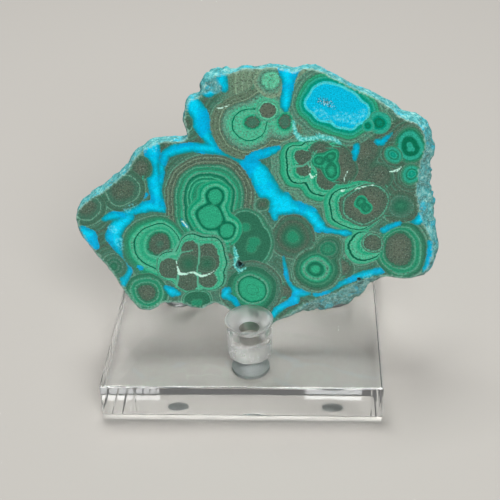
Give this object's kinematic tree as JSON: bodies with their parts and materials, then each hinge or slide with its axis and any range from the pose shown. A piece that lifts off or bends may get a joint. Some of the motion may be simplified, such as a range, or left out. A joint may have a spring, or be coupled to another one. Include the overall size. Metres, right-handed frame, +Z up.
{
  "type": "chrysocolla specimen on a peg stand",
  "caption": "Polished slice of banded green malachite in turquoise chrysocolla with rough broken edges, leaning on a clear acrylic peg stand.",
  "frame": {"origin": "middle of the whole object's footprint, on the surface that the feet rest on", "axes": "+X to the right along the longest side, +Y to the back, +Z up"},
  "size_m": [0.0986, 0.0762, 0.0839],
  "materials": {
    "stone": "polished face, rough chalky edges",
    "acrylic": "clear, polished",
    "bumper": "grey, dull"
  },
  "bodies": {
    "root": {"slab": "stone", "base_plate": "acrylic", "front_peg": "acrylic", "rear_peg_left": "acrylic", "rear_peg_right": "acrylic", "foot_front": "bumper", "foot_rear_left": "bumper", "foot_rear_right": "bumper"}
  },
  "joints": []
}
